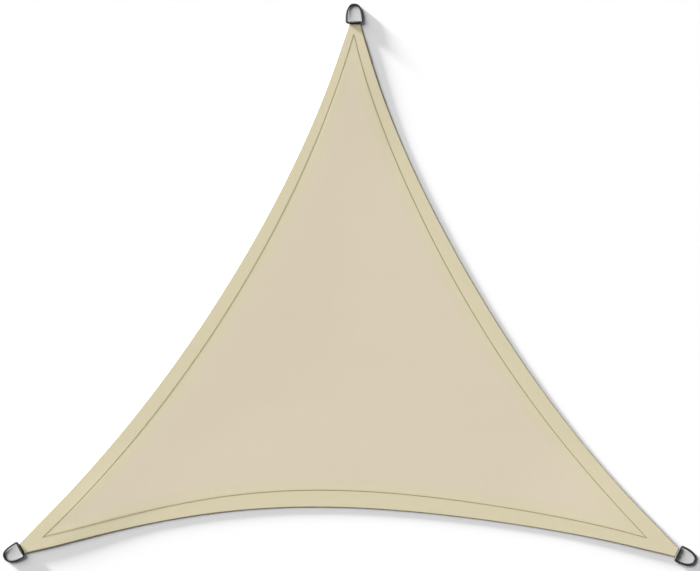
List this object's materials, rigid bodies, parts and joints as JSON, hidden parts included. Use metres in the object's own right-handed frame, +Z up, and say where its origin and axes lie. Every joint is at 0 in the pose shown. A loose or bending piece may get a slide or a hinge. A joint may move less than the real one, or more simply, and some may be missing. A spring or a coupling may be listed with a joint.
{
  "type": "shade sail",
  "caption": "Triangular shade sail with hollowed sides and a stitched hem, laid out flat, with a steel D-ring held by a webbing loop at each corner.",
  "frame": {"origin": "on the ground plane under the cloth, at the middle of the outline's length and width with the rings included", "axes": "+X along the lower side from the left ring to the right ring, +Y from the lower side to the top ring, +Z up out of the face of the cloth"},
  "size_m": [2.1078, 1.7091, 0.0094],
  "materials": {
    "shade_cloth": "matt knitted shade cloth, sand beige",
    "dark_steel": "dark grey, satin",
    "webbing": "matt woven webbing, dark olive black"
  },
  "bodies": {
    "root": {"sail": "shade_cloth", "ring_top": "dark_steel", "ring_left": "dark_steel", "ring_right": "dark_steel", "loop_top": "webbing", "loop_left": "webbing", "loop_right": "webbing"}
  },
  "joints": []
}
